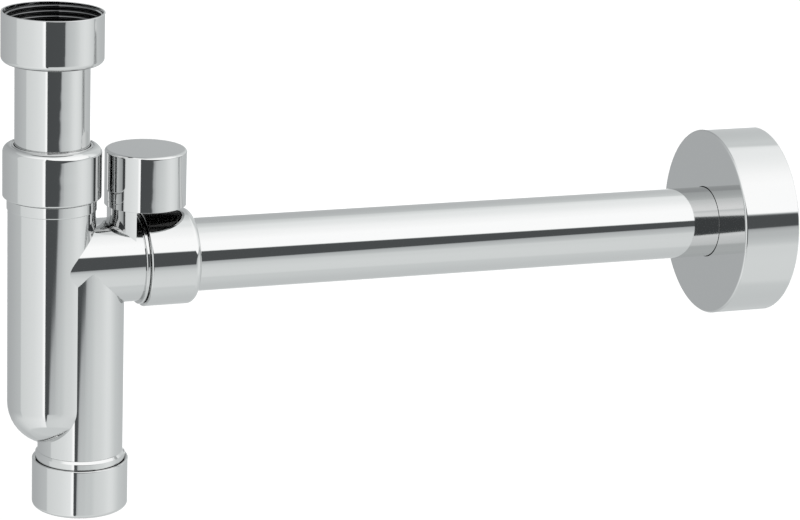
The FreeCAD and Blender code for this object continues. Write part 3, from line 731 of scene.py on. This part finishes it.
def riser_tube():
    base = tube_block(RISER_RADIUS, RISER_BOTTOM, BRANCH_AXIS, upright(x=RISER_AXIS), BODY_BORE)
    branch = tube_block(RISER_RADIUS + MITRE_CLEAR, 0, 2 * BRANCH_END, along_pipe())
    mesh = carved(base, [("DIFFERENCE", leg_block()), ("DIFFERENCE", branch)])
    shade_round(mesh, [upright_wall(RISER_AXIS, RISER_RADIUS, 1), upright_wall(RISER_AXIS, BODY_BORE, -1)])
    as_piece("plated_riser", mesh, "trap", "chrome", "riser_tube")


def branch_tube():
    base = tube_block(RISER_RADIUS, 0, BRANCH_END, along_pipe(), BODY_BORE)
    way_down = tube_block(BODY_BORE, BRANCH_AXIS - 2 * RISER_RADIUS, BRANCH_AXIS, upright(x=RISER_AXIS))
    room, keep = vent_passage(high("vent_boss").z)
    mesh = carved(base, [("DIFFERENCE", leg_block()), ("DIFFERENCE", way_down), ("DIFFERENCE", room)])
    bpy.data.objects.remove(keep)
    shade_round(mesh, [branch_wall(RISER_RADIUS, 1), branch_wall(BODY_BORE, -1)])
    as_piece("plated_branch", mesh, "trap", "chrome", "branch_tube")


# The cleaning cap: heights run from its closed end

CAP_PLACE = upright(x=RISER_AXIS, z=low("cleaning_cap").z)
CAP_MOUTH = high("cleaning_cap").z - low("cleaning_cap").z
COUNTERBORE_DEPTH = 2.0


def cleaning_cap():
    outer = radius("cleaning_cap")
    floor_top = 3.0
    foot_round = 2.0
    mouth_edge = 0.5
    counterbore = 19.9
    counterbore_foot = CAP_MOUTH - COUNTERBORE_DEPTH
    corners = [
        (0, 0),
        (outer, 0, foot_round),
        (outer, CAP_MOUTH, mouth_edge),
        (counterbore, CAP_MOUTH, FINE_EDGE),
        (counterbore, counterbore_foot),
        (NUT_BORE, counterbore_foot, FINE_EDGE),
        (NUT_BORE, floor_top),
        (0, floor_top),
    ]
    turned("plated_cleaning_cap", corners, CAP_PLACE, "cap", "cleaning_cap")


def cleanout_ferrule():
    lip = radius("cleanout_ferrule")
    end = low("cleanout_ferrule").z - low("cleaning_cap").z
    top = high("cleanout_ferrule").z - low("cleaning_cap").z
    flare = top - 1.3
    flare_edge = 0.35
    top_edge = 0.5
    shoulder = CAP_MOUTH - COUNTERBORE_DEPTH + 0.5
    corners = [
        (BODY_BORE, end, FINE_EDGE),
        (THREAD_CORE, end, FINE_EDGE),
        (THREAD_CORE, shoulder),
        (lip, shoulder, SOFT_EDGE),
        (lip, flare, flare_edge),
        (RISER_RADIUS, top, top_edge),
        (BODY_BORE, top),
    ]
    turned("plated_cleanout_ferrule", corners, CAP_PLACE, "trap", "cleanout_ferrule")
    ridge_start = end + 0.7
    ridge_end = shoulder - 1.0
    compression_thread("cleanout_thread", CAP_PLACE, ridge_start, ridge_end)


# The outlet pipe and the wall flange

def outlet_pipe():
    start = low("outlet_pipe").x
    end = high("outlet_pipe").x
    corners = [
        (TUBE_RADIUS, start, SOFT_EDGE),
        (TUBE_RADIUS, end, SOFT_EDGE),
        (TUBE_BORE, end, SOFT_EDGE),
        (TUBE_BORE, start, SOFT_EDGE),
    ]
    turned("plated_outlet_pipe", corners, along_pipe(), "outlet", "outlet_pipe")


def wall_flange():
    front = low("wall_flange").x
    depth = high("wall_flange").x - front
    outer = radius("wall_flange")
    wall = 1.2
    front_round = 1.0
    rear_edge = 0.5
    inner_round = 1.0
    neck = TUBE_RADIUS + 2.1
    neck_depth = 6.0
    corners = [
        (TUBE_HOLE, wall, FINE_EDGE),
        (TUBE_HOLE, 0, FINE_EDGE),
        (outer, 0, front_round),
        (outer, depth, rear_edge),
        (outer - wall, depth, FINE_EDGE),
        (outer - wall, wall, inner_round),
        (neck + wall, wall, SOFT_EDGE),
        (neck + wall, neck_depth, SOFT_EDGE),
        (neck, neck_depth, SOFT_EDGE),
        (neck, wall),
    ]
    turned("plated_wall_flange", corners, along_pipe(front), "flange", "wall_flange")


# The vent

BOSS_INSET = 1.2                # how far the boss stands in under the hood
BOSS_RADIUS = radius("vent_hood") - BOSS_INSET
BOSS_FLAT = high("vent_boss").x                 # place of the flat beside the outlet nut
BOSS_WALL = 1.2
DISH_BOTTOM = low("vent_dish").z
DISH_TOP = high("vent_dish").z
DISH_RADIUS = radius("vent_dish")
DISH_WALL = 1.5
ROOM_TOP = DISH_BOTTOM + 20.0   # above the dish, so that the passage opens through it


def beside_flat(size, flat, top):
    """A box that holds what of a vent piece of this radius lies on the leg's side of a flat."""
    return box_block((VENT_AXIS - 2 * size, -2 * size, BRANCH_AXIS - 2 * CUT_SPARE),
                     (flat, 2 * size, top + 2 * CUT_SPARE))


def vent_passage(top):
    """The space inside the vent's boss, from the branch's axis up, and the box that shapes it."""
    size = BOSS_RADIUS - BOSS_WALL
    room = tube_block(size, BRANCH_AXIS - CUT_SPARE, top, upright(x=VENT_AXIS))
    keep = beside_flat(size, BOSS_FLAT - BOSS_WALL, top)
    add_cut(room, "INTERSECT", keep)
    return room, keep


def vent_boss():
    base = tube_block(BOSS_RADIUS, BRANCH_AXIS, DISH_BOTTOM, upright(x=VENT_AXIS))
    beside = beside_flat(BOSS_RADIUS, BOSS_FLAT, DISH_BOTTOM)
    room, keep = vent_passage(ROOM_TOP)
    branch = tube_block(RISER_RADIUS, -BRANCH_END, 2 * BRANCH_END, along_pipe())
    mesh = carved(base, [("DIFFERENCE", branch), ("INTERSECT", beside), ("DIFFERENCE", room)])
    bpy.data.objects.remove(keep)
    shade_round(mesh, [upright_wall(VENT_AXIS, BOSS_RADIUS, 1),
                       upright_wall(VENT_AXIS, BOSS_RADIUS - BOSS_WALL, -1)])
    as_piece("plated_vent_boss", mesh, "trap", "chrome", "vent_boss")


def vent_dish():
    bore = DISH_RADIUS - DISH_WALL
    corners = [
        (0, DISH_BOTTOM),
        (DISH_RADIUS, DISH_BOTTOM, SOFT_EDGE),
        (DISH_RADIUS, DISH_TOP, SOFT_EDGE),
        (bore, DISH_TOP, SOFT_EDGE),
        (bore, DISH_BOTTOM + DISH_WALL),
        (0, DISH_BOTTOM + DISH_WALL),
    ]
    base = linked("dish", turned_mesh("dish", corners, upright(x=VENT_AXIS)))
    room, keep = vent_passage(ROOM_TOP)
    mesh = carved(base, [("DIFFERENCE", room)])
    bpy.data.objects.remove(keep)
    shade_round(mesh, [upright_wall(VENT_AXIS, DISH_RADIUS, 1), upright_wall(VENT_AXIS, bore, -1)])
    as_piece("moulded_vent_dish", mesh, "trap", "black_plastic", "vent_dish")


def vent_hood():
    top = high("vent_hood").z
    bottom = low("vent_hood").z
    outer = radius("vent_hood")
    roof = top - 1.2
    bore = outer - 0.85
    lip_bore = outer - 1.1
    lip_top = bottom + 0.9
    top_round = 1.3
    bottom_edge = 0.15
    corner_round = 0.6
    corners = [
        (0, top),
        (outer, top, top_round),
        (outer, bottom, bottom_edge),
        (lip_bore, bottom, FINE_EDGE),
        (lip_bore, lip_top, FINE_EDGE),
        (bore, lip_top),
        (bore, roof, corner_round),
        (0, roof),
    ]
    turned("plated_vent_hood", corners, upright(x=VENT_AXIS), "hood", "vent_hood")


# The finishes of every piece

FINISH_OF_SLOT = {"chrome": POLISHED_CHROME, "rubber": BLACK_RUBBER, "plastic": WHITE_PLASTIC,
                  "black_plastic": BLACK_PLASTIC}
# the inlet nut and its thread take the chrome with painted shade in the bore
FINISH_OF_PIECE = {"plated_inlet_nut": BORE_SHADED_CHROME, "inlet_thread": BORE_SHADED_CHROME,
                   "plated_inlet_tube": TURNED_CHROME, "plated_leg_nut": TURNED_CHROME,
                   "plated_vent_hood": TURNED_CHROME}


def paint():
    """Give each piece its own finish, or the one of its material slot."""
    slots = {part["node"]: part["material_slot"] for part in frame["record"]["subparts"]}
    for node, piece in frame["nodes"].items():
        set_material(piece, FINISH_OF_SLOT[slots[node]])
    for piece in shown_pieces():
        if piece.name not in frame["nodes"]:
            set_material(piece, FINISH_OF_PIECE.get(piece.name, FINISH_OF_SLOT[piece["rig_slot"]]))


def set_material(piece, material):
    if not piece.material_slots:
        piece.data.materials.append(material)
    for place in piece.material_slots:
        place.material = material


# Camera and floor

PHOTO_WIDTH = 800


def camera():
    """The photograph's view: turned 21 degrees from +Y towards +X, 16 degrees down and 2 degrees rolled."""
    heading = 0.370458
    dip = 0.278640
    roll = -0.039435
    focal_pixels = 2976.06
    place = Vector((-302.862, -1189.842, 246.877)) * MM
    ahead = Vector((math.sin(heading) * math.cos(dip), math.cos(heading) * math.cos(dip), -math.sin(dip)))
    level = Vector((math.cos(heading), -math.sin(heading), 0))
    down = ahead.cross(level)
    right = math.cos(roll) * level + math.sin(roll) * down
    up = -ahead.cross(right)
    data = bpy.data.cameras.new("camera")
    data.sensor_width = 36
    data.lens = focal_pixels / PHOTO_WIDTH * data.sensor_width
    data.clip_start = 0.05
    data.clip_end = 50
    eye = linked("camera", data)
    eye.matrix_world = Matrix.Translation(place) @ Matrix((right, up, -ahead)).transposed().to_4x4()
    bpy.context.scene.camera = eye


FLOOR_COLOR = (0.85, 0.85, 0.85)
FLOOR_ROUGHNESS = 0.9
FLOOR_LIFT = 0.2                # glow that brings the floor to white for the camera alone
FLOOR_DROP = 0.2                # metres below the trap
FLOOR_REACH = 15.0              # metres from the origin to a side


def floor():
    """A pale floor below the trap, just white for the camera, which keeps the trap's faint shadow.

    It is clear from below, so that the trap shows from there too.
    """
    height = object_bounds()[0].z - FLOOR_DROP
    corners = [(-FLOOR_REACH, -FLOOR_REACH, height), (FLOOR_REACH, -FLOOR_REACH, height),
               (FLOOR_REACH, FLOOR_REACH, height), (-FLOOR_REACH, FLOOR_REACH, height)]
    mesh = bpy.data.meshes.new("floor")
    mesh.from_pydata(corners, [], [(0, 1, 2, 3)])
    ground = linked("floor", mesh)
    ground.visible_glossy = False
    ground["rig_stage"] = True
    material, tree, shader = new_material("floor", FLOOR_COLOR)
    shader.inputs["Roughness"].default_value = FLOOR_ROUGHNESS
    shader.inputs["Emission Color"].default_value = (1, 1, 1, 1)
    path = add_node(tree, "ShaderNodeLightPath").outputs
    tree.links.new(product(tree, path["Is Camera Ray"], FLOOR_LIFT), shader.inputs["Emission Strength"])
    underside = add_node(tree, "ShaderNodeNewGeometry").outputs["Backfacing"]
    tree.links.new(sum_of(tree, "SUBTRACT", 1.0, underside), shader.inputs["Alpha"])
    set_material(ground, material)


# The studio around the trap, by compass angle from -Y towards +X and by height angle, in degrees.
# Tones are on the screen's scale from black, 0, to white, 1.

SIDES_TONE = [(-180, 0.595), (-120, 0.69), (-102, 0.715), (-99, 0.8), (-60, 0.84), (-38, 0.88), (-33, 0.98),
              (-30.5, 0.98), (-29, 0.82), (14, 0.79), (42, 0.82), (60, 0.855), (70, 0.845), (93, 0.76),
              (130, 0.695), (180, 0.595)]
FLOOR_TONE = [(-180, 0.685), (-150, 0.7), (-105, 0.815), (-50, 0.875), (-33, 0.92), (-30.5, 0.92),
              (-28.5, 0.79), (25, 0.815), (60, 0.805), (100, 0.76), (180, 0.685)]
NADIR_TONE = [(-180, 0.71), (-105, 0.77), (45, 0.775), (180, 0.71)]
TOP_TONE = [(-180, 0.6), (-135, 0.74), (-98, 0.85), (-93, 0.9), (-46, 0.98), (60, 0.98), (125, 0.915),
            (135, 0.87), (180, 0.6)]
GAP_TONE = [(-180, 0.56), (-31, 0.6), (-29, 0.29), (38, 0.3), (60, 0.72), (80, 0.75), (90, 0.9), (100, 0.89),
            (115, 0.77), (140, 0.775), (180, 0.56)]
BACKDROP_TONE = 0.98

# Edges between them: where each lies, and how softly it passes from one tone to the other

LEFT_EDGE = -29.8               # right edge of the left lamp
LEFT_EDGE_WIDTH = 0.9
LEFT_LAMP_TOP = 60.0
FLOOR_EDGE = [(-31, -44), (-25.8, -36), (-24.5, -28), (-23, -20.5), (-18, -18.4), (-13.6, -17.5),
              (-4, -16.8), (12, -12.5), (15, -8.8), (23, 0.2), (30, 5), (48, 8), (80, 8), (110, 0)]
FLOOR_EDGE_WIDTH = 1.6
TOP_LAMP_EDGE = [(-180, 40), (-30, 44), (-10, 33), (0, 30.5), (21, 21.7), (42, 11.5), (80, 14), (95, 50),
                 (150, 52), (180, 40)]
TOP_LAMP_EDGE_WIDTH = 4.0
HORIZON = -30.0                 # where the sides pass into the floor
HORIZON_WIDTH = 14.0
NADIR_EDGE = -58.0              # where the floor right below begins
NADIR_EDGE_WIDTH = 6.0
BACKDROP_PLACE = (160.0, -12.0)
BACKDROP_CORE = 9.1             # the backdrop is whole within this angle of its place
BACKDROP_REACH = 16.9           # and fades out at this one

# Shades on them

EDGE_SHADE = [(0, 0.7), (0.8, 0.82), (2.4, 0.9), (5, 0.95), (20, 1.0)]      # by the angle below the gap
ROOF_SHADE = [(50, 1.0), (72, 0.95), (90, 0.76)]                            # by the height angle
RIGHT_SHADE = [(-18, 0), (-13.5, 0.055), (-6, 0.09)]                        # by the height angle
RIGHT_SHADE_SHARE = [(-31, 0), (-29, 1), (32, 1), (50, 0)]                  # by the compass angle
DARK_LINE = [(86, 0), (89, 0.16), (91, 0.16), (94, 0)]                      # by the compass angle
DARK_LINE_FOOT = -16.0
DARK_LINE_FOOT_WIDTH = 1.0

SCREEN_GAMMA = 2.2
RED_TINT = [(0, -0.009), (0.62, -0.009), (0.76, -0.012), (0.88, -0.008), (0.97, 0)]     # added by the tone
BLUE_TINT = [(0, 0.004), (0.62, 0.004), (0.8, -0.001), (1, 0)]
SOFT_LIGHT = 1.0                # strength of the plain light on matt surfaces


def height_at(tree, value, points):
    """The height, at a value, of straight runs through (value, height) points."""
    places = [place for place, _ in points]
    heights = [height for _, height in points]
    share = add_node(tree, "ShaderNodeMapRange", {
        "Value": value, "From Min": places[0], "From Max": places[-1]}).outputs[0]
    curve = add_node(tree, "ShaderNodeFloatCurve", {"Value": share})
    lowest, highest = min(heights), max(heights)
    spots = curve.mapping.curves[0].points
    for index, (place, height) in enumerate(points):
        spot = ((place - places[0]) / (places[-1] - places[0]), (height - lowest) / (highest - lowest))
        if index == 0:
            spots[0].location = spot
        elif index == len(points) - 1:
            spots[len(spots) - 1].location = spot
        else:
            spots.new(*spot)
    for spot in spots:
        spot.handle_type = "VECTOR"
    curve.mapping.update()
    return add_node(tree, "ShaderNodeMapRange", {
        "Value": curve.outputs[0], "To Min": lowest, "To Max": highest}).outputs[0]


def smooth_share(tree, value, start, end):
    """A smooth step from 0 to 1 as a value goes from start to end."""
    return add_node(tree, "ShaderNodeMapRange", {"Value": value, "From Min": start, "From Max": end},
                    interpolation_type="SMOOTHSTEP").outputs[0]


def step_up(tree, value, middle_at, width):
    """A smooth step from 0 to 1 around a place."""
    return smooth_share(tree, sum_of(tree, "SUBTRACT", value, middle_at), -width / 2, width / 2)


def blend(tree, share, first, second):
    return add_node(tree, "ShaderNodeMix", {"Factor": share, "A": first, "B": second}).outputs[0]


def without(tree, tone, share):
    """A tone less a share of it."""
    return product(tree, tone, sum_of(tree, "SUBTRACT", 1.0, share))


def directions(tree):
    """The compass angle and the height angle of the direction looked in, in degrees."""
    way = add_node(tree, "ShaderNodeTexCoord").outputs["Generated"]
    parts = add_node(tree, "ShaderNodeSeparateXYZ", {0: way}).outputs
    back = product(tree, parts[1], -1.0)
    compass = sum_of(tree, "DEGREES", sum_of(tree, "ARCTAN2", parts[0], back))
    height = sum_of(tree, "DEGREES", sum_of(tree, "ARCSINE", parts[2]))
    return compass, height


def low_tone(tree, compass, height, gap_foot):
    """The tone below the gap: the sides near the horizon, the floor, and the floor right below."""
    below = sum_of(tree, "SUBTRACT", gap_foot, height)
    edge_shade = height_at(tree, below, EDGE_SHADE)
    sides = product(tree, height_at(tree, compass, SIDES_TONE), edge_shade)
    right_share = height_at(tree, compass, RIGHT_SHADE_SHARE)
    sides = without(tree, sides, product(tree, height_at(tree, height, RIGHT_SHADE), right_share))
    line_share = step_up(tree, height, DARK_LINE_FOOT, DARK_LINE_FOOT_WIDTH)
    sides = without(tree, sides, product(tree, height_at(tree, compass, DARK_LINE), line_share))
    ground = product(tree, height_at(tree, compass, FLOOR_TONE), edge_shade)
    tone = blend(tree, step_up(tree, height, HORIZON, HORIZON_WIDTH), ground, sides)
    return blend(tree, step_up(tree, height, NADIR_EDGE, NADIR_EDGE_WIDTH),
                 height_at(tree, compass, NADIR_TONE), tone)


def backdrop_share(tree, compass, height):
    """How much of a direction the white backdrop behind the trap fills."""
    aside = sum_of(tree, "SUBTRACT", compass, BACKDROP_PLACE[0])
    above = sum_of(tree, "SUBTRACT", height, BACKDROP_PLACE[1])
    squares = sum_of(tree, "ADD", product(tree, aside, aside), product(tree, above, above))
    return smooth_share(tree, sum_of(tree, "SQRT", squares), BACKDROP_REACH, BACKDROP_CORE)


def studio_tone(tree, compass, height):
    """The studio's tone by direction: a lamp overhead, one at the left, a pale floor and a gap between."""
    right_part = step_up(tree, compass, LEFT_EDGE, LEFT_EDGE_WIDTH)
    gap_foot = blend(tree, right_part, LEFT_LAMP_TOP, height_at(tree, compass, FLOOR_EDGE))
    lower = blend(tree, step_up(tree, height, gap_foot, FLOOR_EDGE_WIDTH),
                  low_tone(tree, compass, height, gap_foot), height_at(tree, compass, GAP_TONE))
    top = product(tree, height_at(tree, compass, TOP_TONE), height_at(tree, height, ROOF_SHADE))
    lamp_foot = height_at(tree, compass, TOP_LAMP_EDGE)
    tone = blend(tree, step_up(tree, height, lamp_foot, TOP_LAMP_EDGE_WIDTH), lower, top)
    return blend(tree, backdrop_share(tree, compass, height), tone, BACKDROP_TONE)


def strength(tree, tone):
    """The light's strength at a tone of the screen."""
    return sum_of(tree, "POWER", sum_of(tree, "MAXIMUM", tone, 0.0), SCREEN_GAMMA)


def world():
    """Plain soft light for matt surfaces, and the studio for mirrors: chrome shows its tones as written.

    The camera sees plain white.
    """
    scene_world = bpy.data.worlds.new("studio")
    bpy.context.scene.world = scene_world
    scene_world.use_nodes = True
    tree = scene_world.node_tree
    compass, height = directions(tree)
    tone = studio_tone(tree, compass, height)
    red = sum_of(tree, "ADD", tone, height_at(tree, tone, RED_TINT))
    blue = sum_of(tree, "ADD", tone, height_at(tree, tone, BLUE_TINT))
    channels = {0: strength(tree, red), 1: strength(tree, tone), 2: strength(tree, blue)}
    studio = add_node(tree, "ShaderNodeCombineColor", channels).outputs[0]
    path = add_node(tree, "ShaderNodeLightPath").outputs
    mirrored = sum_of(tree, "MAXIMUM", path["Is Glossy Ray"], path["Is Transmission Ray"])
    mirrored = without(tree, mirrored, path["Is Camera Ray"])
    plain = blend(tree, path["Is Camera Ray"], SOFT_LIGHT, 1.0)
    background = tree.nodes["Background"]
    tree.links.new(mixed_color(tree, mirrored, (1, 1, 1, 1), studio), background.inputs["Color"])
    tree.links.new(blend(tree, mirrored, plain, 1 / CHROME[1]), background.inputs["Strength"])


inlet_nut()
inlet_tube()
inlet_joint()
leg_tube()
riser_tube()
branch_tube()
outlet_joint()
cleaning_cap()
cleanout_ferrule()
outlet_pipe()
wall_flange()
vent_boss()
vent_dish()
vent_hood()
paint()
floor()
world()
camera()
bpy.context.scene.view_settings.view_transform = "Standard"
